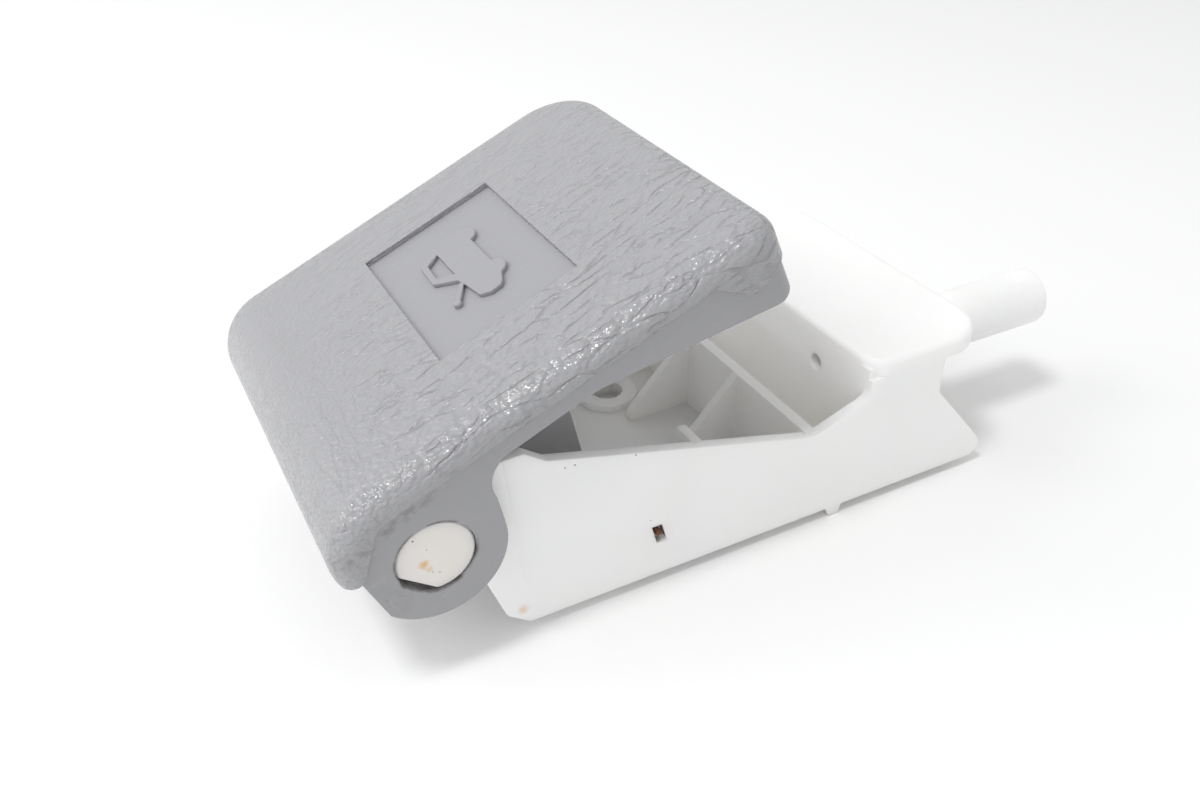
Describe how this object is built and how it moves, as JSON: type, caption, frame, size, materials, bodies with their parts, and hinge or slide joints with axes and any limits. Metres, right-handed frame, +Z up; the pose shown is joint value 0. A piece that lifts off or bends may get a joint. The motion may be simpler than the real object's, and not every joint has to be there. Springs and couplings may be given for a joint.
{
  "type": "hood release handle",
  "caption": "Hinged grip handle with a grained cover on a white plastic bracket, which pulls a cable to release a vehicle's hood.",
  "frame": {"origin": "bottom centre of the whole part as it stands with the handle part open, on the plane under the two snap tabs", "axes": "+Z up, square to the bracket's lower edges; +X from the hinge end to the cable end; +Y across, along the hinge axis, away from the side that the picture shows"},
  "size_m": [0.1234, 0.0574, 0.0539],
  "materials": {
    "grained_grey_plastic": "leather-grained, semi-matt warm grey",
    "smooth_grey_plastic": "smooth moulded grey",
    "natural_white_nylon": "natural, slightly translucent off-white",
    "spring_steel": "drawn spring wire with light rust"
  },
  "bodies": {
    "base": {"bracket": "natural_white_nylon", "return_spring": "spring_steel"},
    "handle": {"handle_body": "smooth_grey_plastic", "grip_cover": "grained_grey_plastic"}
  },
  "joints": [
    {"name": "handle_hinge", "type": "hinge", "parent": "base", "child": "handle", "pos_m": [-0.04933, 0, 0.0207], "axis": [0, -1, 0], "range_deg": [-23.5, 32], "stiffness_Nm_per_rad": 0.02, "deforming": ["return_spring"]}
  ]
}
